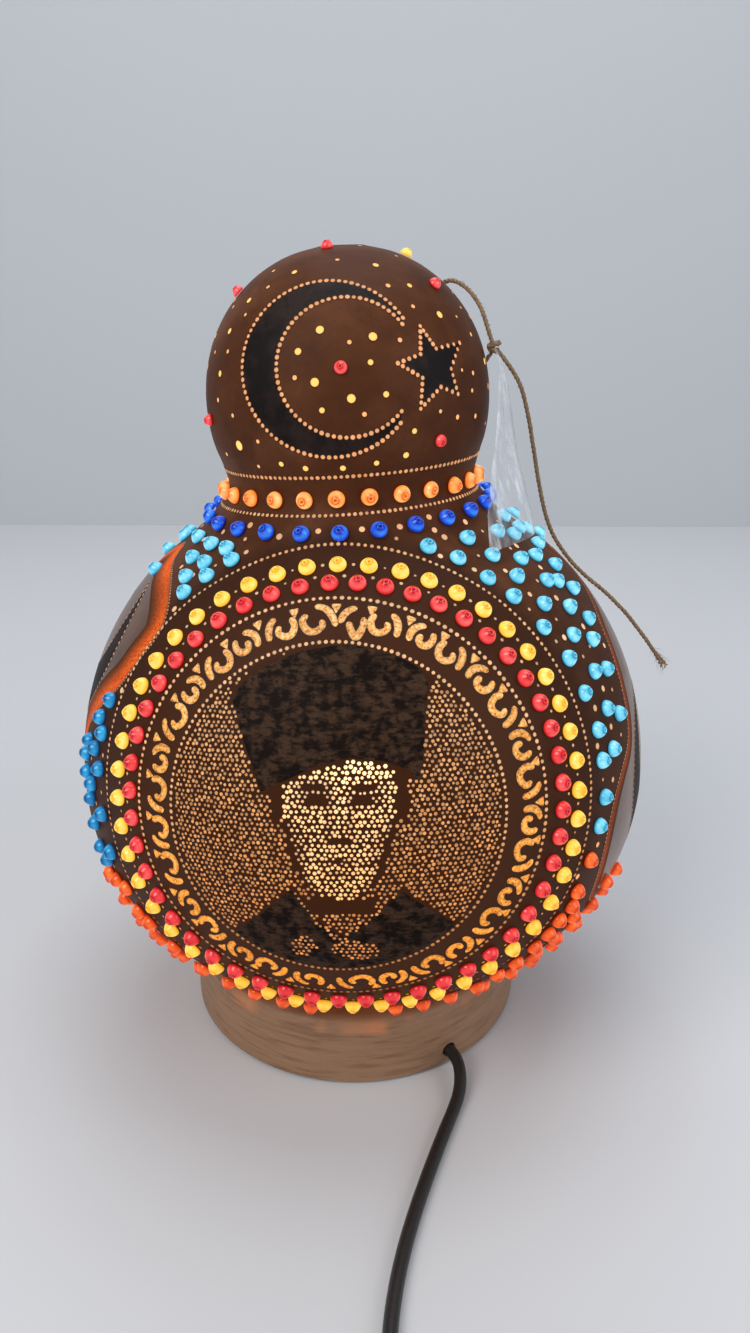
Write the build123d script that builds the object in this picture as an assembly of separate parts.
from build123d import *

import math
import os

# A carved gourd table lamp: a bead-studded hollow gourd standing on a turned wooden base.
# Millimetres, +Z up. The origin is the middle of the footprint, on the table; -Y is the front.
# The gourd lifts off its base, the lamp screws out of its holder and the switch's rocker tips.

# One length that lets every cut run past its solid
overrun = 1.0

# The gourd: a round belly below, a smaller bulb above, and a narrow neck between them
globe_radius = 138.0
globe_rise = 139.3
globe_drop = 113.0
foot_cut_share = 0.8823
globe_offset = 4.4
bulb_radius = 63.2
bulb_rise = 63.9
bulb_drop = 66.4
bulb_above_neck = 34.3
lean_angle = 2.2
fullness_power = 2.05
neck_radius = 56.4
neck_above_rise = 2.5
neck_flare = 23.5
neck_foot = 6.5
skin = 4.5
scar_radius = 9.0
foot_reach = 5.0
globe_steps = 12
bulb_steps = 9
table_steps = 420

# The front picture and the rings drawn round it; each span is how far a compass is opened
medallion_turn = -4.0
medallion_tilt = 15.0
medallion_rim_share = 0.81377
red_ring_inset = 19.1
yellow_ring_inset = 10.5
ring_shift_right = 1.7

# Each bead ring was stepped off by eye: down the right from one bead, down the left from another, and the
# rest evenly between their ends. First angle and step in degrees, then the count.
red_right_run = (5.6, 7.2, 15)
red_left_run = (-1.6, -7.73, 15)
red_low_count = 18
yellow_right_run = (15.4, 7.25, 14)
yellow_left_run = (7.7, -7.5, 17)
yellow_low_count = 17

# The two side pictures that the filling beads go round: turned away from the front, and tilted up
left_panel_angle = 101.0
left_panel_tilt = 18.0
right_panel_angle = 110.0
right_panel_tilt = 11.0
panel_share = 0.7174

# The two bead rings at the neck, drawn by eye with a slight slope up to the right
ring_slope_share = 0.028
orange_ring_below_neck = 2.6
orange_ring_angle = -5.0
orange_front_share = 0.055
orange_bead_count = 26
navy_ring_below_neck = 13.2
navy_ring_angle = -3.5
navy_front_share = 0.008
navy_bead_count = 25
neck_bead_lift = 0.5

# The beads that fill the rest of the belly, in rows beside the pictures' rims
fill_row_step = 8.7
fill_first_row = 8.4
fill_spacing = 11.8
fill_row_count = 7
fill_ceiling_below_neck = 26.8
fill_floor_share = 0.7
orange_fill_share = 0.2743
blue_side_share = 0.2584
blue_side_angle = -22.0
back_fill_angle = 88.0

# The filling beads that show from the front: the turn in degrees, then the height as a share of the globe's rise
light_blue_spot_shares = [(-97.0, 0.823), (-90.8, 0.822), (-69.1, 0.86), (-55.8, 0.862), (-46.3, 0.863),
                          (-95.0, 0.765), (-60.2, 0.821), (-51.5, 0.822), (-40.4, 0.842), (-31.0, 0.886),
                          (-54.3, 0.782), (-46.0, 0.798), (-49.7, 0.752), (-77.8, 0.75), (26.7, 0.872),
                          (34.5, 0.835), (43.2, 0.872), (47.8, 0.822), (60.1, 0.862), (76.3, 0.879),
                          (99.4, 0.838), (67.6, 0.839), (77.2, 0.839), (86.4, 0.817), (98.0, 0.767),
                          (77.2, 0.79), (57.8, 0.792), (66.5, 0.781), (71.3, 0.74), (39.7, 0.78),
                          (49.5, 0.763), (59.2, 0.729), (63.7, 0.713), (68.3, 0.677), (43.1, 0.728),
                          (51.2, 0.688), (59.8, 0.651), (65.0, 0.598), (46.3, 0.641), (54.4, 0.592),
                          (60.7, 0.553), (48.8, 0.548), (55.3, 0.483), (60.6, 0.465), (49.2, 0.449),
                          (54.9, 0.375), (59.2, 0.334), (49.7, 0.34), (53.5, 0.258), (49.0, 0.251),
                          (48.5, 0.137), (46.5, 0.056)]
blue_spot_shares = [(-56.8, 0.438), (-59.4, 0.374), (-56.8, 0.337), (-63.6, 0.274), (-59.3, 0.275),
                    (-64.9, 0.222), (-56.1, 0.23), (-63.3, 0.172), (-59.8, 0.155), (-60.5, 0.099),
                    (-54.4, 0.089), (-59.1, 0.023), (-58.1, -0.058), (-52.2, -0.028), (-55.0, -0.078)]
orange_spot_shares = [(-57.1, -0.15), (-53.1, -0.144), (-49.4, -0.142), (-48.7, -0.233), (-45.5, -0.253),
                      (-41.7, -0.334), (-36.9, -0.413), (44.0, -0.042), (41.5, -0.138), (41.2, -0.194),
                      (38.5, -0.229), (36.7, -0.274), (34.6, -0.317), (31.5, -0.372), (28.3, -0.415)]

# Single beads on the top bulb: the turn in degrees, then the height as a share of the bulb's rise
red_bulb_bead_shares = [(-22.0, 0.97), (-82.5, 0.718), (-68.2, -0.07), (58.5, 0.722), (37.8, -0.202),
                        (-0.5, 0.282), (-150.0, 0.35), (150.0, -0.1)]
yellow_bulb_bead_shares = [(83.2, 0.91), (-120.0, 0.55), (178.0, 0.6)]

# One plastic bead: a domed cone that is glued on the skin
bead_radius = 3.6
bead_rim = 0.9
bead_height = 4.6
bead_tip_radius = 1.1
bead_bulge = 0.35
bead_seat_gap = 0.3
bead_clearance = 0.6
bulb_bead_share = 0.72

# The turned wooden base
base_radius = 87.0
base_top = 38.0
base_round = 6.0
base_chamfer = 0.8
spigot_gap = 5.4
spigot_wall = 19.0
spigot_height = 4.0
base_rim = 12.0
recess_height = 23.5
cover_seat = 9.0
cover_thickness = 2.0
cover_gap = 0.3
cover_screw_count = 3
felt_thickness = 1.5
felt_margin = 2.0

# The threaded tube that carries the lampholder
tube_radius = 5.0
tube_bore_radius = 4.0
tube_length = 31.0
tube_below_ceiling = 8.5
tube_hole_gap = 0.3
nut_radius = 8.1
nut_height = 3.5
washer_radius = 10.0
washer_thickness = 1.0

# The lampholder
holder_radius = 20.0
holder_wall = 2.2
holder_floor = 3.0
holder_cap_height = 20.0
holder_shell_height = 28.0
holder_lip = 2.0
holder_mouth_radius = 15.5
block_height = 6.0
block_rise = 2.0
block_gap = 0.3
sleeve_bore_radius = 13.75
sleeve_wall = 0.5
sleeve_height = 22.0
contact_radius = 3.0
contact_height = 1.7
terminal_spacing = 18.0
terminal_offset = 6.0
terminal_head_gap = 0.3

# The wires between the lead's end and the holder
wire_radius = 1.1
wire_spacing = 3.2
wire_bend = 5.0
wire_kink = 2.2
wire_rise = 1.0
wire_end_run = 2.0

# The lamp
lamp_gap = 0.3
lamp_button_radius = 4.6
lamp_button_height = 1.4
lamp_insulator_radius = 9.0
lamp_insulator_height = 3.0
lamp_cap_radius = 13.2
lamp_cap_wall = 0.4
lamp_cap_height = 22.0
glass_radius = 30.0
glass_neck_radius = 12.4
glass_wall = 0.8
glass_height = 83.0
glass_neck_height = 8.0
stem_radius = 5.5
stem_height = 30.0
stem_foot = 1.0
support_radius = 0.35
support_spread = 11.0
support_height = 20.0
support_root = 3.0
filament_radius = 0.5
filament_rise = 7.0

# Small screws, used for the cover, the clamp, the terminals and the switch
screw_radius = 1.5
screw_length = 8.0
screw_head_radius = 3.0
screw_head_height = 1.2
screw_gap = 0.2
slot_width = 0.8
slot_depth = 0.6

# The mains lead and where it enters the base
lead_radius = 3.0
lead_hole_gap = 0.7
lead_height = 9.5
lead_turn = 32.8
sheath_end_reach = 27.0
clamp_reach = 44.0
clamp_length = 9.0
clamp_width = 22.0
clamp_bar_thickness = 1.5
clamp_screw_spacing = 14.0

# The loose lead's route over the table, from the base to the coil
lead_first_run = 6.0
lead_points = [(51.9, -86.6, 7.7), (50.8, -95.6, 4.5), (47.0, -105.5, 3.0),
               (42.6, -116.1, 3.0), (34.6, -137.3, 3.0), (27.4, -157.9, 3.0), (22.0, -176.0, 3.0),
               (18.3, -192.5, 3.0), (15.9, -209.0, 3.0), (15.1, -232.0, 3.0), (15.0, -252.0, 3.0)]
coil_start = (15.0, -270.0, 3.0)

# The lead put away: a coil of two layers, wound inwards below and outwards on top
coil_radius = 44.0
coil_pitch = 6.6
coil_lift = 6.7
coil_dip = 2.6
coil_in_count = 13
coil_up_count = 2
coil_out_count = 12

# The two short stretches on either side of the switch
tail_points = [(-3.0, -227.65, 9.7), (21.0, -238.0, 9.3), (43.0, -247.0, 9.0)]
switch_centre = (88.0, -247.0, 0.0)
plug_points = [(138.0, -247.0, 9.0), (163.0, -257.5, 5.0), (176.0, -286.0, 3.0), (176.0, -301.0, 3.0),
               (163.0, -329.5, 4.2), (138.0, -340.0, 6.85)]
plug_start = (112.0, -340.0, 6.85)

# The switch on the lead
switch_length = 62.0
switch_width = 28.0
switch_height = 18.0
switch_wall = 2.0
switch_round = 4.0
window_length = 21.0
window_width = 13.0
cheek_wall = 1.5
cheek_depth = 6.0
rocker_gap = 0.3
rocker_pivot_drop = 3.0
rocker_crown = 1.6
rocker_depth = 4.0
rocker_travel = 20.0
pivot_radius = 1.2
pivot_gap = 0.3
switch_screw_reach = 24.0
switch_screw_length = 11.0

# The plug
plug_length = 36.0
plug_width = 35.3
plug_height = 13.7
plug_nose_width = 25.0
plug_tail_width = 11.0
plug_round = 2.5
pin_radius = 2.0
pin_length = 19.0
pin_spacing = 18.6
pin_root = 6.0
pin_root_radius = 1.4

# The twine loop at the bulb's right, its knot and its loose tail
twine_radius = 1.0
twine_hole_radius = 3.0
twine_hole_reach = 10.0
knot_radius = 3.5
knot_gap = 0.15
knot_share = 0.2918
knot_angle = 85.586
knot_reach = 4.457

# The twine's two routes, as points from the knot's middle
twine_loop_route = [(-0.5, 0.9, 1.7), (-3.3, 5.5, 11.0), (-6.1, 12.0, 18.5), (-11.1, 18.5, 24.5),
                    (-17.1, 24.5, 28.0), (-22.3, 29.5, 26.0), (-25.1, 32.0, 20.0), (-28.1, 29.6, 14.0),
                    (-23.6, 17.0, 0.0), (-11.6, 3.5, -14.0), (-3.2, 0.0, -6.1), (-0.6, 0.0, -1.9)]
twine_tail_route = [(1.3, 0.0, -0.7), (6.3, 0.0, -6.5), (12.0, 1.0, -14.0), (15.6, 2.0, -23.3),
                    (19.0, 3.5, -36.0), (23.4, 5.0, -56.0), (26.6, 5.5, -69.0), (30.7, 5.6, -81.5),
                    (37.7, 5.4, -92.8), (48.0, 5.0, -103.8), (60.4, 4.7, -113.0), (76.4, 5.0, -129.0),
                    (93.2, 5.5, -152.0)]
twine_keep_out = 6.0

# The twine's two holes in the bulb: the turn, the height as a share of the bulb's rise, the route's point there
twine_hole_shares = [(85.34, 0.2173, 10), (123.72, 0.64, 6)]

# The clear film tag tied in with the knot, as levels: height, distance out, first and last turn
film_thickness = 0.4
film_drop_share = 1.2231
film_knot_gap = 0.5
film_level_shares = [(0.0, 1.0, 76.0, 81.6), (0.065, 1.045, 72.0, 81.0), (0.181, 1.069, 66.0, 83.0),
                     (0.323, 1.108, 60.0, 86.0), (0.6, 1.188, 50.0, 87.0), (0.815, 1.276, 44.0, 87.0),
                     (1.0, 1.356, 42.0, 86.0)]

# Sizes that follow from the ones above
globe_height = base_top + foot_cut_share * globe_drop
neck_above_globe = globe_rise + neck_above_rise
bulb_above_globe = neck_above_globe + bulb_above_neck
fill_ceiling_above_globe = neck_above_globe - fill_ceiling_below_neck
medallion_rim_span = medallion_rim_share * min(globe_radius, globe_rise)
red_ring_span = medallion_rim_span - red_ring_inset
yellow_ring_span = medallion_rim_span - yellow_ring_inset
panel_span = panel_share * min(globe_radius, globe_rise)
cover_radius = base_radius - base_rim
recess_radius = cover_radius - cover_seat
cover_screw_circle = recess_radius + cover_seat / 2.0
felt_radius = recess_radius - felt_margin


def distance(a, b):
    return math.sqrt(sum((a[i] - b[i]) ** 2 for i in range(3)))


def along(point, direction, reach):
    return [point[i] + direction[i] * reach for i in range(3)]


def unit(a):
    size = math.sqrt(sum(value * value for value in a))
    return [value / size for value in a]


def between(a, b):
    return [b[i] - a[i] for i in range(3)]


def dot(a, b):
    return sum(a[i] * b[i] for i in range(3))


def place(piece, point, direction):
    """A copy of a piece, its own +Z turned to a direction and its origin set at a point."""
    return Plane(origin=tuple(point), z_dir=tuple(direction)).location * piece


def rod(radius, bottom, top):
    return Pos(0, 0, bottom) * extrude(Circle(radius), amount=top - bottom)


def pipe(radius, bore, bottom, top):
    return Pos(0, 0, bottom) * extrude(Circle(radius) - Circle(bore), amount=top - bottom)


def box(length, width, bottom, top):
    return Pos(0, 0, bottom) * extrude(Rectangle(length, width), amount=top - bottom)


def turned(outline):
    """A solid of revolution from points (radius, height), joined by straight lines."""
    with BuildPart() as made:
        with BuildSketch(Plane.XZ):
            with BuildLine():
                Polyline(*outline, close=True)
            make_face()
        revolve(axis=Axis.Z)
    return made.part


def save(name, pieces):
    """Write one node. Several pieces stay separate solids."""
    solids = pieces if isinstance(pieces, list) else [pieces]
    single = solids[0] if len(solids) == 1 else Compound(children=solids)
    export_step(single, "parts/" + name + ".step")


# The gourd's outline, in the gourd's own frame: heights are above the belly's middle

def oval(radius, half_height, offset):
    """The radius of a slightly full oval at a height above or below its middle."""
    offset_share = min(1.0, abs(offset / half_height))
    return radius * (1.0 - offset_share ** fullness_power) ** (1.0 / fullness_power)


def globe_outline(height, inset):
    half = globe_rise if height > 0.0 else globe_drop
    return oval(globe_radius - inset, half - inset, height)


def bulb_outline(height, inset):
    offset = height - bulb_above_globe
    half = bulb_rise if offset > 0.0 else bulb_drop
    return oval(bulb_radius - inset, half - inset, offset)


# Down the neck's flare: the share of the flare's height, then the share of the neck's radius
neck_flare_shares = [(0.0, 1.0), (0.213, 1.02), (0.362, 1.064), (0.511, 1.117), (0.766, 1.206)]


def outline_sections(inset):
    """Heights and radii of the gourd's cross-sections, from below the cut foot to the stem scar."""
    found = []
    lowest = base_top - globe_height - foot_reach
    highest = neck_above_globe - neck_flare
    first = math.asin(lowest / (globe_drop - inset))
    last = math.asin(highest / (globe_rise - inset))
    for step in range(globe_steps + 1):
        angle = first + (last - first) * step / globe_steps
        half = globe_drop if angle < 0.0 else globe_rise
        height = (half - inset) * math.sin(angle)
        found.append((height, globe_outline(height, inset)))
    for drop_share, radius_share in reversed(neck_flare_shares):
        height = neck_above_globe - drop_share * neck_flare
        found.append((height, neck_radius * radius_share - inset))
    first = math.asin((neck_above_globe + neck_foot - bulb_above_globe) / (bulb_drop - inset))
    last = math.acos(scar_radius / bulb_radius)
    for step in range(bulb_steps + 1):
        angle = first + (last - first) * step / bulb_steps
        half = bulb_drop if angle < 0.0 else bulb_rise
        height = bulb_above_globe + (half - inset) * math.sin(angle)
        found.append((height, bulb_outline(height, inset)))
    return found


def smooth_between(sections, height):
    """The radius at a height, by a curve through the nearest four sections."""
    last = len(sections) - 1
    at = 0
    while at < last - 1 and sections[at + 1][0] < height:
        at += 1
    near = range(max(0, at - 1), min(last, at + 2) + 1)
    total = 0.0
    for i in near:
        weight = 1.0
        for j in near:
            if j != i:
                weight *= (height - sections[j][0]) / (sections[i][0] - sections[j][0])
        total += weight * sections[i][1]
    return total


outer_sections = outline_sections(0.0)
gourd_low = outer_sections[0][0]
gourd_high = outer_sections[-1][0]
table_step = (gourd_high - gourd_low) / table_steps
radius_table = [smooth_between(outer_sections, gourd_low + table_step * i) for i in range(table_steps + 1)]


def gourd_radius(height):
    """The gourd's outer radius at a height above the belly's middle."""
    position = (height - gourd_low) / table_step
    number = max(0, min(table_steps - 1, int(position)))
    part_share = position - number
    return radius_table[number] * (1.0 - part_share) + radius_table[number + 1] * part_share


gourd_location = Location((globe_offset, 0, globe_height), (0, -lean_angle, 0))


def in_lamp(point):
    """A point of the gourd's own frame, in the whole lamp's."""
    lean = math.radians(lean_angle)
    return [globe_offset + point[0] * math.cos(lean) - point[2] * math.sin(lean), point[1],
            globe_height + point[2] * math.cos(lean) + point[0] * math.sin(lean)]


def skin_place(height, turn):
    """A point of the skin and its outward direction. The turn is from the front, to the right."""
    radius = gourd_radius(height)
    rise = (gourd_radius(height + table_step) - gourd_radius(height - table_step)) / table_step / 2.0
    across = [math.sin(math.radians(turn)), -math.cos(math.radians(turn)), 0.0]
    return [across[0] * radius, across[1] * radius, height], unit([across[0], across[1], -rise])


def skin_along(direction):
    """Where a line from the belly's middle leaves through the skin."""
    flat = math.hypot(direction[0], direction[1])
    near = 0.0
    far = globe_radius * 1.5
    while far - near > table_step / 100.0:
        middle = (near + far) / 2.0
        if flat * middle < gourd_radius(direction[2] * middle):
            near = middle
        else:
            far = middle
    turn = math.degrees(math.atan2(direction[0], -direction[1]))
    return skin_place(direction[2] * near, turn)


def facing(turn, tilt):
    """A direction turned from the front to the right, and tilted up."""
    flat = math.cos(math.radians(tilt))
    return [math.sin(math.radians(turn)) * flat, -math.cos(math.radians(turn)) * flat,
            math.sin(math.radians(tilt))]


def compass_place(turn, tilt, span, clock):
    """The skin at a compass's span from a medallion's middle, at a clock angle from its top."""
    middle_direction = facing(turn, tilt)
    right = facing(turn + 90.0, 0.0)
    up = facing(turn, tilt + 90.0)
    away = [math.sin(math.radians(clock)) * right[i] + math.cos(math.radians(clock)) * up[i] for i in range(3)]
    middle = skin_along(middle_direction)[0]
    near = 0.0
    far = math.radians(100.0)
    for _ in range(14):
        opened = (near + far) / 2.0
        direction = [math.cos(opened) * middle_direction[i] + math.sin(opened) * away[i] for i in range(3)]
        if distance(skin_along(direction)[0], middle) < span:
            near = opened
        else:
            far = opened
    return skin_along(direction)


def compass_ring(turn, tilt, span, count, start=0.0):
    return [compass_place(turn, tilt, span, start + 360.0 * i / count) for i in range(count)]


def stepped_ring(span, right_run, left_run, low_count):
    """A ring of places stepped off by hand round the front picture, a little wider at the right."""
    clocks = [right_run[0] + right_run[1] * i for i in range(right_run[2])]
    low_start = clocks[-1]
    clocks += [left_run[0] + left_run[1] * i for i in range(left_run[2])]
    low_sweep = clocks[-1] + 360.0 - low_start
    clocks += [low_start + low_sweep * (i + 1) / (low_count + 1) for i in range(low_count)]
    return [compass_place(medallion_turn, medallion_tilt,
                          span + ring_shift_right * math.sin(math.radians(clock)), clock)
            for clock in clocks]


def neck_ring(height, count, start, front_share):
    """A ring of places round the neck, a little higher at the right and in front."""
    found = []
    for i in range(count):
        turn = start + 360.0 * i / count
        across = gourd_radius(height) * math.sin(math.radians(turn))
        forward = gourd_radius(height) * math.cos(math.radians(turn))
        point, outward = skin_place(height + ring_slope_share * across + front_share * forward, turn)
        found.append((along(point, outward, neck_bead_lift), outward))
    return found


def in_gourd(point):
    """A point of the whole lamp, in the gourd's own frame."""
    lean = math.radians(lean_angle)
    right = point[0] - globe_offset
    up = point[2] - globe_height
    return [right * math.cos(lean) + up * math.sin(lean), point[1], up * math.cos(lean) - right * math.sin(lean)]


def near_line(point, points, reach):
    """Whether a point lies closer to a line of points than a reach."""
    for start, end in zip(points, points[1:]):
        run = between(start, end)
        share = max(0.0, min(1.0, dot(between(start, point), run) / dot(run, run)))
        if distance(point, along(start, run, share)) < reach:
            return True
    return False


def shown_places(spot_shares):
    """The places of beads that show. Above the fill's ceiling, in the neck's hollow, they stand off a little."""
    found = []
    for turn, share in spot_shares:
        point, outward = skin_place(globe_rise * share, turn)
        if point[2] > fill_ceiling_above_globe:
            point = along(point, outward, neck_bead_lift)
        found.append((point, outward))
    return found


def fill_places(taken, shown):
    """Beads in rows beside the pictures' rims, where the front view doesn't show their real places."""
    panels = [(medallion_turn, medallion_tilt, medallion_rim_span),
              (medallion_turn - left_panel_angle, left_panel_tilt, panel_span),
              (medallion_turn + right_panel_angle, right_panel_tilt, panel_span)]
    middles = [skin_along(facing(turn, tilt))[0] for turn, tilt, _ in panels]
    twine = [in_gourd(point) for point in twine_tail_points]
    found = []
    for point, outward in shown:
        if near_line(along(point, outward, bead_height / 2.0), twine, twine_keep_out):
            continue
        if any(distance(point, other[0]) < 2.0 * bead_radius + bead_clearance for other in taken + found):
            continue
        found.append((point, outward))
    for number, (turn, tilt, span) in enumerate(panels):
        for row in range(fill_row_count):
            row_span = span + fill_first_row + row * fill_row_step
            count = int(math.tau * row_span * 0.8 / fill_spacing)
            for point, outward in compass_ring(turn, tilt, row_span, count, row * 180.0 / count):
                if not -fill_floor_share * globe_drop < point[2] < fill_ceiling_above_globe:
                    continue
                behind = abs(math.degrees(math.atan2(point[0], -point[1]))) > back_fill_angle
                if not behind and point[2] > -orange_fill_share * globe_drop:
                    continue
                if any(distance(point, middles[i]) < panels[i][2] + fill_first_row * 0.95
                       for i in range(len(panels)) if i != number):
                    continue
                if any(distance(point, other[0]) < fill_spacing for other in taken + found):
                    continue
                if near_line(along(point, outward, bead_height / 2.0), twine, twine_keep_out):
                    continue
                found.append((point, outward))
    return found


def bead_solid():
    """One bead: a domed cone that stands on the skin."""
    rim_top = bead_seat_gap + bead_rim
    middle = ((bead_radius + bead_tip_radius) / 2.0 + bead_bulge,
              (rim_top + bead_height) / 2.0 + bead_bulge)
    with BuildPart() as made:
        with BuildSketch(Plane.XZ):
            with BuildLine():
                Polyline((bead_tip_radius, bead_height), (0, bead_height), (0, bead_seat_gap),
                         (bead_radius, bead_seat_gap), (bead_radius, rim_top))
                ThreePointArc((bead_radius, rim_top), middle, (bead_tip_radius, bead_height))
            make_face()
        revolve(axis=Axis.Z)
    return made.part


def beads(places, solid):
    """A copy of one bead at each place, turned square to the skin."""
    return [gourd_location * place(solid, point, outward) for point, outward in places]


def gourd_body(inset):
    """The gourd's solid form, or the hollow inside it."""
    sections = outline_sections(inset)
    top = sections[-1][0]
    bottom = sections[0][0]
    with BuildPart() as made:
        with BuildSketch(Plane.XZ):
            with BuildLine():
                Spline(*[(radius, height) for height, radius in sections])
                Polyline((sections[-1][1], top), (0, top), (0, bottom), (sections[0][1], bottom))
            make_face()
        revolve(axis=Axis.Z)
    return gourd_location * made.part


def tube_runs(points, radii):
    """The smallest radius, and the length, of a route of straight runs joined by arcs."""
    total = 0.0
    for start, end in zip(points, points[1:]):
        total += distance(start, end)
    for i in range(1, len(points) - 1):
        before = unit(between(points[i - 1], points[i]))
        after = unit(between(points[i], points[i + 1]))
        half = math.acos(max(-1.0, min(1.0, dot(before, after)))) / 2.0
        total -= 2.0 * radii[i - 1] * (math.tan(half) - half)
    return total


def bend_radii(points):
    """At each point, 0.45 of the shorter run over the tangent of half the turn."""
    radii = []
    for i in range(1, len(points) - 1):
        before = between(points[i - 1], points[i])
        after = between(points[i], points[i + 1])
        cosine = dot(unit(before), unit(after))
        half = math.acos(max(-1.0, min(1.0, cosine))) / 2.0
        shorter = min(math.sqrt(dot(before, before)), math.sqrt(dot(after, after)))
        radii.append(0.45 * shorter / math.tan(half))
    return radii


def cord_tube(points, radius, name):
    """A round cord along straight runs that are joined by tangent arcs."""
    radii = bend_radii(points)
    with BuildPart() as made:
        with BuildLine() as route:
            FilletPolyline(*points, radius=radii)
        with BuildSketch(Plane(origin=route.line @ 0, z_dir=route.line % 0)):
            Circle(radius)
        sweep()
    length = tube_runs(points, radii)
    volume_share = made.part.volume / (math.pi * radius ** 2 * length)
    print(name, "length %.1f" % length, "radii", " ".join("%.0f" % value for value in radii),
          "volume share %.4f" % volume_share)
    return made.part


def coil_place(quarter):
    """A point of the coil's centre line, after a number of quarter turns from its start."""
    inward = min(quarter, coil_in_count)
    rising = max(0.0, min(quarter - coil_in_count, coil_up_count))
    outward = max(0.0, quarter - coil_in_count - coil_up_count)
    climb_share = rising / coil_up_count
    radius = coil_radius - coil_pitch * (inward - outward) / 4.0
    radius -= coil_dip * math.sin(math.pi * climb_share)
    height = coil_start[2] + coil_lift * (1.0 - math.cos(math.pi * climb_share)) / 2.0
    angle = -quarter * math.pi / 2.0
    return [coil_start[0] - coil_radius + radius * math.cos(angle), coil_start[1] + radius * math.sin(angle),
            height]


def coil_heading(quarter):
    """The coil's direction at a point. It starts and ends square to its radius."""
    total = coil_in_count + coil_up_count + coil_out_count
    step = 1.0 / 64.0
    before = coil_place(max(0.0, quarter - step))
    after = coil_place(min(total, quarter + step))
    heading = unit(between(before, after))
    if quarter in (0, total):
        angle = -quarter * math.pi / 2.0
        heading = [math.sin(angle), -math.cos(angle), 0.0]
    return heading


def coil_tube():
    """The whole coil: one unbroken cord, swept along two tangent arcs for each quarter turn."""
    total = coil_in_count + coil_up_count + coil_out_count
    joints = []
    for quarter in range(total):
        start = coil_place(quarter)
        end = coil_place(quarter + 1)
        leaving = coil_heading(quarter)
        arriving = coil_heading(quarter + 1)
        chord = between(start, end)
        both = [leaving[i] + arriving[i] for i in range(3)]
        bend = dot(both, both) - 4.0
        middle = dot(chord, both)
        reach = (middle - math.sqrt(middle ** 2 - bend * dot(chord, chord))) / bend
        joint = [(start[i] + end[i] + reach * (leaving[i] - arriving[i])) / 2.0 for i in range(3)]
        crossing = unit([chord[i] - reach * both[i] for i in range(3)])
        joints.append((start, leaving, joint))
        joints.append((joint, crossing, end))
    first = coil_heading(0)
    lead_in = Edge.make_line(tuple(along(coil_start, first, -2.0 * lead_radius)), coil_start)
    edges = [lead_in]
    for start, heading, end in joints:
        edges.append(Edge.make_tangent_arc(tuple(start), tuple(heading), tuple(end)))
    last = coil_place(total)
    out = along(last, coil_heading(total), 2.0 * lead_radius)
    edges.append(Edge.make_line(tuple(last), tuple(out)))
    route = Wire(edges)
    with BuildPart() as made:
        with BuildSketch(Plane(origin=edges[0] @ 0, z_dir=tuple(first))):
            Circle(lead_radius)
        sweep(path=route)
    share = made.part.volume / (math.pi * lead_radius ** 2 * route.length)
    print("coil length %.1f" % route.length, "volume share %.4f" % share)
    samples = [coil_place(total * i / 1500.0) for i in range(1501)]
    spacing = route.length / 1500.0
    apart = int(4.0 * lead_radius / spacing)
    least = min(distance(samples[i], samples[j]) for i in range(0, 1501, 3) for j in range(i + apart, 1501, 2))
    print("coil's least gap to itself %.2f" % (least - 2.0 * lead_radius))
    return made.part, out


def small_screw(length):
    """A round-headed screw pointing up, its head's slotted face at zero."""
    head = rod(screw_head_radius, 0, screw_head_height)
    slot = box(2.0 * (screw_head_radius + overrun), slot_width, -overrun, slot_depth)
    return head - slot + rod(screw_radius, screw_head_height, screw_head_height + length)


def rounded_block(length, width, bottom, top, corner):
    return Pos(0, 0, bottom) * extrude(RectangleRounded(length, width, corner), amount=top - bottom)


os.makedirs("parts", exist_ok=True)

# Where things stand
cover_top = felt_thickness + cover_thickness
holder_bottom = base_top
block_top = holder_bottom + holder_cap_height + block_rise
block_bottom = block_top - block_height
tube_bottom = recess_height - tube_below_ceiling
tube_top = tube_bottom + tube_length
holder_top = holder_bottom + holder_cap_height + holder_shell_height
lamp_bottom = block_top + contact_height + lamp_gap
lead_way = Rot(0, 0, lead_turn)

# The knot beside the bulb, and the twine's routes from it
knot_spot, knot_outward = skin_place(bulb_above_globe + knot_share * bulb_rise, knot_angle)
knot_centre = in_lamp(along(knot_spot, knot_outward, knot_reach))
twine_loop_points = [tuple(along(knot_centre, offset, 1.0)) for offset in twine_loop_route]
twine_tail_points = [tuple(along(knot_centre, offset, 1.0)) for offset in twine_tail_route]

# The gourd's beads: where each one sits
red_ring = stepped_ring(red_ring_span, red_right_run, red_left_run, red_low_count)
yellow_ring = stepped_ring(yellow_ring_span, yellow_right_run, yellow_left_run, yellow_low_count)
orange_ring = neck_ring(neck_above_globe - orange_ring_below_neck, orange_bead_count, orange_ring_angle,
                        orange_front_share)
navy_ring = neck_ring(neck_above_globe - navy_ring_below_neck, navy_bead_count, navy_ring_angle,
                      navy_front_share)
light_blue_shown = shown_places(light_blue_spot_shares)
blue_shown = shown_places(blue_spot_shares)
orange_shown = shown_places(orange_spot_shares)
fill = fill_places(red_ring + yellow_ring + orange_ring + navy_ring,
                   light_blue_shown + blue_shown + orange_shown)
orange_fill = [spot for spot in fill if spot in orange_shown
               or spot not in blue_shown and spot[0][2] < -orange_fill_share * globe_drop]
rest = [spot for spot in fill if spot not in orange_fill]
blue_fill = [spot for spot in rest if spot in blue_shown
             or spot not in light_blue_shown and spot[0][2] < blue_side_share * globe_rise
             and spot[0][0] < globe_radius * math.sin(math.radians(blue_side_angle))]
light_fill = [spot for spot in rest if spot not in blue_fill]
red_single = [skin_place(bulb_above_globe + share * bulb_rise, turn) for turn, share in red_bulb_bead_shares]
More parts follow.
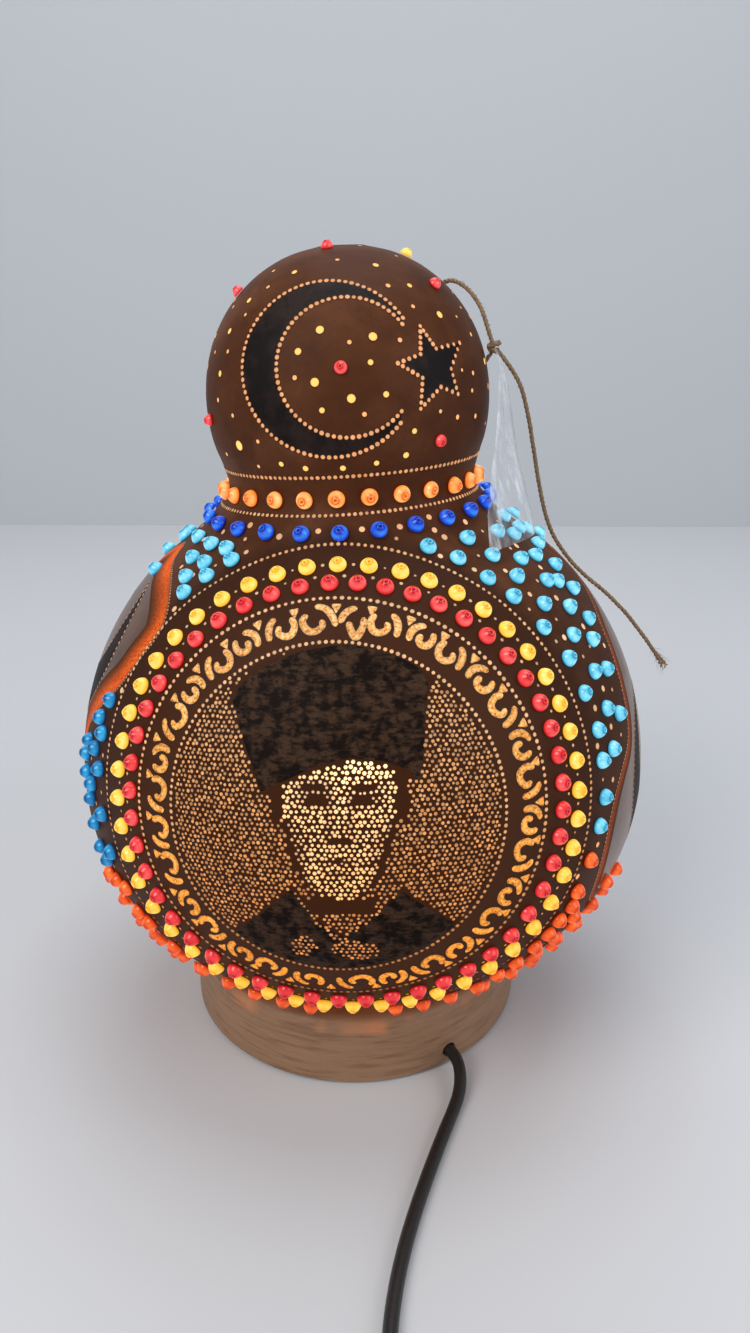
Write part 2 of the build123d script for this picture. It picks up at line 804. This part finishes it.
yellow_single = [skin_place(bulb_above_globe + share * bulb_rise, turn)
                 for turn, share in yellow_bulb_bead_shares]
print("fill beads", len(orange_fill), len(blue_fill), len(light_fill))

# The gourd's shell: hollow, cut flat at the foot, with two holes for the twine
shell = gourd_body(0.0) - gourd_body(skin)
below = box(3.0 * globe_radius, 3.0 * globe_radius, -globe_height, base_top)
shell = shell - below
for turn, share, number in twine_hole_shares:
    hole = skin_place(bulb_above_globe + share * bulb_rise, turn)[0]
    heading = between(twine_loop_points[number - 1], twine_loop_points[number + 1])
    spot = gourd_location * Pos(*hole)
    drill = rod(twine_hole_radius, -twine_hole_reach, twine_hole_reach)
    shell = shell - place(drill, tuple(spot.position), unit(heading))
print("shell volume %.0f" % shell.volume, "solids", len(shell.solids()))
save("gourd_shell", shell)

plain_bead = bead_solid()
small_bead = scale(plain_bead, by=bulb_bead_share)
save("beads_red_ring", beads(red_ring, plain_bead))
save("beads_yellow_ring", beads(yellow_ring, plain_bead))
save("beads_orange_neck", beads(orange_ring, plain_bead))
save("beads_navy_neck", beads(navy_ring, plain_bead))
save("beads_orange_lower", beads(orange_fill, plain_bead))
save("beads_blue_side", beads(blue_fill, plain_bead))
save("beads_light_blue", beads(light_fill, plain_bead))
save("beads_red_bulb", beads(red_single, small_bead))
save("beads_yellow_bulb", beads(yellow_single, small_bead))

# The twine, its knot and the film tag
loop_tube = cord_tube(twine_loop_points, twine_radius, "twine_loop")
tail_tube = cord_tube(twine_tail_points, twine_radius, "twine_tail")
knot = Pos(*knot_centre) * Rot(0, 0, 90) * Sphere(knot_radius)
for number, ends in enumerate([twine_loop_points[:2], twine_loop_points[:-3:-1], twine_tail_points[:2]]):
    heading = unit(between(ends[0], ends[1]))
    bore = rod(twine_radius + knot_gap, -knot_gap, 2.0 * knot_radius)
    knot = knot - place(bore, ends[0], heading)
save("twine_loop", loop_tube)
save("twine_tail", tail_tube)
save("twine_knot", knot)

film_drop = film_drop_share * bulb_radius
film_top_reach = math.hypot(knot_centre[0], knot_centre[1]) + film_knot_gap
film_faces = []
for drop_share, reach_share, first_turn, last_turn in film_level_shares:
    height = knot_centre[2] - film_drop * drop_share
    near = film_top_reach * reach_share
    far = near + film_thickness
    corners = []
    for turn in (first_turn, (first_turn + last_turn) / 2.0, last_turn):
        angle = math.radians(turn - 90.0)
        corners.append((near * math.cos(angle), near * math.sin(angle), far * math.cos(angle),
                        far * math.sin(angle)))
    with BuildSketch(Plane.XY.offset(height)) as level:
        with BuildLine():
            ThreePointArc(*[(corner[0], corner[1]) for corner in corners])
            Line((corners[2][0], corners[2][1]), (corners[2][2], corners[2][3]))
            ThreePointArc(*[(corner[2], corner[3]) for corner in reversed(corners)])
            Line((corners[0][2], corners[0][3]), (corners[0][0], corners[0][1]))
        make_face()
    film_faces.append(level.sketch)
save("film_tag", loft(film_faces, ruled=True))

# The turned base: a rounded upper edge, a spigot ring for the gourd, a recess below
base = rod(base_radius, felt_thickness, base_top)
base = fillet(base.edges().filter_by(GeomType.CIRCLE).sort_by(Axis.Z)[-1], base_round)
base = chamfer(base.edges().filter_by(GeomType.CIRCLE).sort_by(Axis.Z)[0], base_chamfer)
foot_radius = oval(globe_radius - skin, globe_drop - skin, globe_height - base_top)
spigot_radius = foot_radius - spigot_gap
base += pipe(spigot_radius, spigot_radius - spigot_wall, base_top - overrun, base_top + spigot_height)
print("spigot radius %.2f" % spigot_radius)
base -= rod(recess_radius, felt_thickness - overrun, recess_height)
base -= rod(cover_radius, felt_thickness - overrun, cover_top)
base -= rod(tube_radius + tube_hole_gap, recess_height - overrun, base_top + overrun)
lead_hole = place(rod(lead_radius + lead_hole_gap, 0, base_radius + overrun), (0, 0, lead_height), (0, -1, 0))
base -= lead_way * lead_hole
for i in range(cover_screw_count):
    turn = 360.0 * i / cover_screw_count
    base -= Rot(0, 0, turn) * Pos(0, cover_screw_circle, 0) * rod(
        screw_radius, felt_thickness, felt_thickness + screw_head_height + screw_length)
save("wooden_base", base)

cover = rod(cover_radius - cover_gap, felt_thickness, cover_top)
cover_screws = []
for i in range(cover_screw_count):
    spot = Rot(0, 0, 360.0 * i / cover_screw_count) * Pos(0, cover_screw_circle, 0)
    cover -= spot * rod(screw_head_radius + screw_gap, felt_thickness - overrun,
                        felt_thickness + screw_head_height)
    cover -= spot * rod(screw_radius + screw_gap, felt_thickness, cover_top + overrun)
    cover_screws.append(spot * Pos(0, 0, felt_thickness) * small_screw(screw_length))
save("bottom_cover", cover)
save("cover_screws", cover_screws)

save("felt_disc", rod(felt_radius, 0, felt_thickness))

# The threaded tube, its two nuts and its washer
save("nipple_tube", pipe(tube_radius, tube_bore_radius, tube_bottom, tube_top))
save("nipple_washer", pipe(washer_radius, tube_radius, recess_height - washer_thickness, recess_height))
nuts = []
lower_nut = recess_height - washer_thickness - nut_height
for bottom in (lower_nut, holder_bottom + holder_floor):
    nut = Pos(0, 0, bottom) * extrude(RegularPolygon(nut_radius, 6) - Circle(tube_radius), amount=nut_height)
    nuts.append(nut)
save("nipple_nuts", nuts)

# The lampholder's cap and shell, its block and contacts
cap_top = holder_bottom + holder_cap_height
holder_bore = holder_radius - holder_wall
holder_cap = rod(holder_radius, holder_bottom, cap_top)
holder_cap -= rod(holder_bore, holder_bottom + holder_floor, cap_top + overrun)
holder_cap -= rod(tube_radius + tube_hole_gap, holder_bottom - overrun, holder_bottom + holder_floor + overrun)
save("lampholder_cap", holder_cap)
holder_shell = rod(holder_radius, cap_top, holder_top)
holder_shell -= rod(holder_bore, cap_top - overrun, holder_top - holder_lip)
holder_shell -= rod(holder_mouth_radius, holder_top - holder_lip - overrun, holder_top + overrun)
save("lampholder_shell", holder_shell)

block = rod(holder_bore - block_gap, block_bottom, block_top)
terminals = []
for side in (-1, 1):
    spot = lead_way * Pos(side * terminal_spacing / 2.0, terminal_offset, 0)
    block -= spot * rod(screw_radius, block_bottom - overrun, block_top + overrun)
    head_bottom = block_bottom - screw_head_height
    terminals.append(spot * Pos(0, 0, head_bottom) * small_screw(block_height - terminal_head_gap))
save("lampholder_block", block)
save("terminal_screws", terminals)
save("screw_sleeve", pipe(sleeve_bore_radius + sleeve_wall, sleeve_bore_radius, block_top,
                          block_top + sleeve_height))
save("centre_contact", rod(contact_radius, block_top, block_top + contact_height))

# The two wires from the sheath's end, up the tube, to the block
for side, name in ((-1, "live_wire"), (1, "neutral_wire")):
    inner = side * wire_spacing / 2.0
    outer = side * terminal_spacing / 2.0
    wire_points = [(inner, -sheath_end_reach, lead_height), (inner, 0, lead_height),
                   (inner, 0, tube_top + wire_rise), (outer, 0, block_bottom - wire_end_run),
                   (outer, 0, block_bottom)]
    with BuildPart() as wire:
        with BuildLine() as route:
            FilletPolyline(*wire_points, radius=[wire_bend, wire_kink, wire_kink])
        with BuildSketch(Plane(origin=route.line @ 0, z_dir=route.line % 0)):
            Circle(wire_radius)
        sweep()
    save(name, lead_way * wire.part)

# The lead inside the base, and the clamp that grips it under the recess's ceiling
exit_reach = base_radius
inner_lead = place(rod(lead_radius, sheath_end_reach, exit_reach), (0, 0, lead_height), (0, -1, 0))
save("lead_inside", lead_way * inner_lead)
clamp_bottom = lead_height + lead_radius
clamp_spot = lead_way * Pos(0, -clamp_reach, 0)
clamp_block = box(clamp_width, clamp_length, clamp_bottom, recess_height)
bar_bottom = lead_height - lead_radius - clamp_bar_thickness
clamp_bar = box(clamp_width, clamp_length, bar_bottom, bar_bottom + clamp_bar_thickness)
clamp_screws = []
for side in (-1, 1):
    spot = Pos(side * clamp_screw_spacing / 2.0, 0, bar_bottom - screw_head_height)
    screw = spot * small_screw(screw_length + clamp_bar_thickness)
    clamp_screws.append(clamp_spot * screw)
    hole = Pos(side * clamp_screw_spacing / 2.0, 0, 0) * rod(
        screw_radius, bar_bottom - overrun, bar_bottom + clamp_bar_thickness + screw_length)
    clamp_block -= hole
    clamp_bar -= hole
save("clamp_block", clamp_spot * clamp_block)
save("clamp_bar", clamp_spot * clamp_bar)
save("clamp_screws", clamp_screws)

# The loose lead: a free run, the coil, the switch between two tails, and the plug
lead_side = math.radians(lead_turn)
lead_exit = (exit_reach * math.sin(lead_side), -exit_reach * math.cos(lead_side), lead_height)
coil, coil_end = coil_tube()
coil_mouth = along(coil_start, coil_heading(0), -2.0 * lead_radius)
lead_out = (math.sin(lead_side), -math.cos(lead_side), 0.0)
free_points = [lead_exit, tuple(along(lead_exit, lead_out, lead_first_run))] + lead_points
save("lead_free_run", cord_tube(free_points + [tuple(coil_mouth)], lead_radius, "lead_free_run"))
save("lead_coil", coil)
switch_left = (switch_centre[0] - switch_length / 2.0, switch_centre[1], switch_height / 2.0)
switch_right = (switch_centre[0] + switch_length / 2.0, switch_centre[1], switch_height / 2.0)
save("lead_tail_a", cord_tube([tuple(coil_end)] + tail_points + [switch_left], lead_radius, "lead_tail_a"))
save("lead_tail_b", cord_tube([switch_right] + plug_points + [plug_start], lead_radius, "lead_tail_b"))

# The switch: two halves of a case, two screws, and the rocker in its window
switch_spot = Pos(*switch_centre)
middle = switch_height / 2.0
inner_length = switch_length - 2.0 * switch_wall
inner_width = switch_width - 2.0 * switch_wall
inner_round = switch_round - switch_wall
lower = rounded_block(switch_length, switch_width, 0, middle, switch_round)
lower -= rounded_block(inner_length, inner_width, switch_wall, middle + overrun, inner_round)
upper = rounded_block(switch_length, switch_width, middle, switch_height, switch_round)
upper = fillet(upper.faces().sort_by(Axis.Z)[-1].edges(), inner_round)
upper -= rounded_block(inner_length, inner_width, middle - overrun, switch_height - switch_wall, inner_round)
upper += box(window_length + 2.0 * cheek_wall, window_width + 2.0 * cheek_wall,
             switch_height - cheek_depth, switch_height - switch_wall)
upper -= box(window_length, window_width, middle - overrun, switch_height + overrun)
pivot_height = switch_height - rocker_pivot_drop
upper -= Pos(0, 0, pivot_height) * Rot(90, 0, 0) * rod(
    pivot_radius + pivot_gap, -window_width / 2.0 - cheek_wall, window_width / 2.0 + cheek_wall)
switch_screws = []
for side in (-1, 1):
    spot = Pos(side * switch_screw_reach, 0, 0)
    post = spot * rod(screw_head_radius, switch_wall - overrun, middle)
    lower += post
    lower -= spot * rod(screw_radius, -overrun, middle + overrun)
    lower -= spot * rod(screw_head_radius - screw_gap, -overrun, 0)
    upper += spot * rod(screw_head_radius, middle, switch_height - switch_wall)
    upper -= spot * rod(screw_radius, middle - overrun, switch_wall + switch_screw_length)
    lower -= spot * rod(screw_head_radius + screw_gap, -overrun, switch_wall - screw_head_height)
    switch_screws.append(switch_spot * spot * Pos(0, 0, 0) * small_screw(switch_screw_length))
    lower -= spot * rod(screw_head_radius + screw_gap, -overrun, screw_head_height)
for half in (0, 1):
    entry = Pos(0, 0, middle) * Rot(0, 90, 0) * rod(lead_radius, -switch_length, switch_length)
    entry = entry - box(inner_length, switch_width, -overrun, switch_height + overrun)
    if half == 0:
        lower = lower - entry
    else:
        upper = upper - entry
save("switch_case_lower", switch_spot * lower)
save("switch_case_upper", switch_spot * upper)
save("switch_screws", switch_screws)

half_rocker = window_length / 2.0 - rocker_gap * 3.0
rocker_side = window_width / 2.0 - rocker_gap
crown = rocker_pivot_drop + rocker_crown
slope = half_rocker * math.tan(math.radians(rocker_travel / 2.0))
with BuildPart() as rocker:
    with BuildSketch(Plane.XZ):
        with BuildLine():
            Polyline((-half_rocker, rocker_pivot_drop), (-half_rocker, rocker_pivot_drop + slope),
                     (0, crown - rocker_crown + screw_gap), (half_rocker, rocker_pivot_drop + slope),
                     (half_rocker, rocker_pivot_drop), (rocker_side, -rocker_depth + rocker_pivot_drop),
                     (-rocker_side, -rocker_depth + rocker_pivot_drop), close=True)
        make_face()
    extrude(amount=rocker_side, both=True)
pivot = Rot(90, 0, 0) * rod(pivot_radius, -rocker_side - cheek_wall / 2.0, rocker_side + cheek_wall / 2.0)
tipped = Rot(0, rocker_travel / 2.0, 0) * (rocker.part + pivot)
save("switch_rocker", switch_spot * Pos(0, 0, pivot_height) * tipped)

# The plug, lying flat beside the coil, its two pins towards it
plug_spot = Pos(*plug_start)
half_height = plug_height / 2.0
with BuildPart() as plug:
    with BuildSketch():
        with BuildLine():
            Polyline((0, -plug_tail_width / 2.0), (0, plug_tail_width / 2.0),
                     (-plug_length / 2.0, plug_width / 2.0), (-plug_length, plug_nose_width / 2.0),
                     (-plug_length, -plug_nose_width / 2.0), (-plug_length / 2.0, -plug_width / 2.0),
                     close=True)
        make_face()
    extrude(amount=half_height, both=True)
    fillet(plug.edges().filter_by(Axis.Z), plug_round)
    fillet(plug.faces().sort_by(Axis.Z)[-1].edges(), plug_round / 2.0)
    fillet(plug.faces().sort_by(Axis.Z)[0].edges(), plug_round / 2.0)
pins = []
body = plug.part
for side in (-1, 1):
    spot = Pos(-plug_length - pin_length, side * pin_spacing / 2.0, 0) * Rot(0, 90, 0)
    pin = spot * (rod(pin_radius, 0, pin_length) + rod(pin_root_radius, 0, pin_length + pin_root))
    tip = pin.edges().filter_by(GeomType.CIRCLE).sort_by(Axis.X)[0]
    pins.append(plug_spot * fillet(tip, pin_radius / 2.0))
    body = body - spot * rod(pin_root_radius, pin_length - overrun, pin_length + pin_root)
save("plug_body", plug_spot * body)
save("plug_pins", pins)

# The lamp: cap, insulator, button, glass, stem, supports and filament
button_top = lamp_bottom + lamp_button_height
insulator_top = button_top + lamp_insulator_height
cap_height = insulator_top + lamp_cap_height
save("lamp_button", rod(lamp_button_radius, lamp_bottom, button_top))
save("lamp_insulator", turned([(0, button_top), (lamp_button_radius, button_top),
                               (lamp_insulator_radius, insulator_top), (0, insulator_top)]))
lamp_cap = turned([(0, insulator_top), (lamp_insulator_radius, insulator_top),
                   (lamp_cap_radius, insulator_top + lamp_insulator_height),
                   (lamp_cap_radius, cap_height), (lamp_cap_radius - lamp_cap_wall, cap_height),
                   (lamp_cap_radius - lamp_cap_wall, insulator_top + lamp_insulator_height),
                   (lamp_insulator_radius - lamp_cap_wall, insulator_top + lamp_cap_wall),
                   (0, insulator_top + lamp_cap_wall)])
save("lamp_cap", lamp_cap)

glass_bottom = cap_height - glass_neck_height / 2.0
glass_middle = glass_bottom + glass_height - glass_radius


def glass_form(inset, bottom):
    """The glass's solid outer form, or the space inside it."""
    reach = glass_radius - inset
    neck = glass_neck_radius - inset
    neck_top = glass_bottom + glass_neck_height
    slant = math.sqrt(0.5)
    with BuildPart() as made:
        with BuildSketch(Plane.XZ):
            with BuildLine():
                ThreePointArc((0, glass_middle + reach), (reach * slant, glass_middle + reach * slant),
                              (reach, glass_middle))
                Spline((reach, glass_middle), (neck, neck_top), tangents=[(0, -1), (0, -1)],
                       tangent_scalars=[1.4, 1.2])
                Polyline((neck, neck_top), (neck, bottom), (0, bottom), (0, glass_middle + reach))
            make_face()
        revolve(axis=Axis.Z)
    return made.part


save("lamp_glass", glass_form(0.0, glass_bottom) - glass_form(glass_wall, glass_bottom - overrun))
stem_top = glass_bottom + stem_height
stem = rod(glass_neck_radius - glass_wall, glass_bottom, glass_bottom + stem_foot)
stem += rod(stem_radius, glass_bottom, stem_top)
save("lamp_stem", stem)
supports = []
support_top = stem_top + support_height
for side in (-1, 1):
    foot = (side * support_root, 0, stem_top + support_radius)
    head = (side * support_spread, 0, support_top)
    supports.append(place(rod(support_radius, 0, distance(foot, head)), foot, between(foot, head)))
save("filament_supports", supports)
with BuildPart() as filament:
    with BuildLine() as curve:
        ThreePointArc((-support_spread, 0, support_top + 2.0 * filament_radius),
                      (0, 0, support_top + filament_rise),
                      (support_spread, 0, support_top + 2.0 * filament_radius))
    with BuildSketch(Plane(origin=curve.line @ 0, z_dir=curve.line % 0)):
        Circle(filament_radius)
    sweep()
save("filament", filament.part)
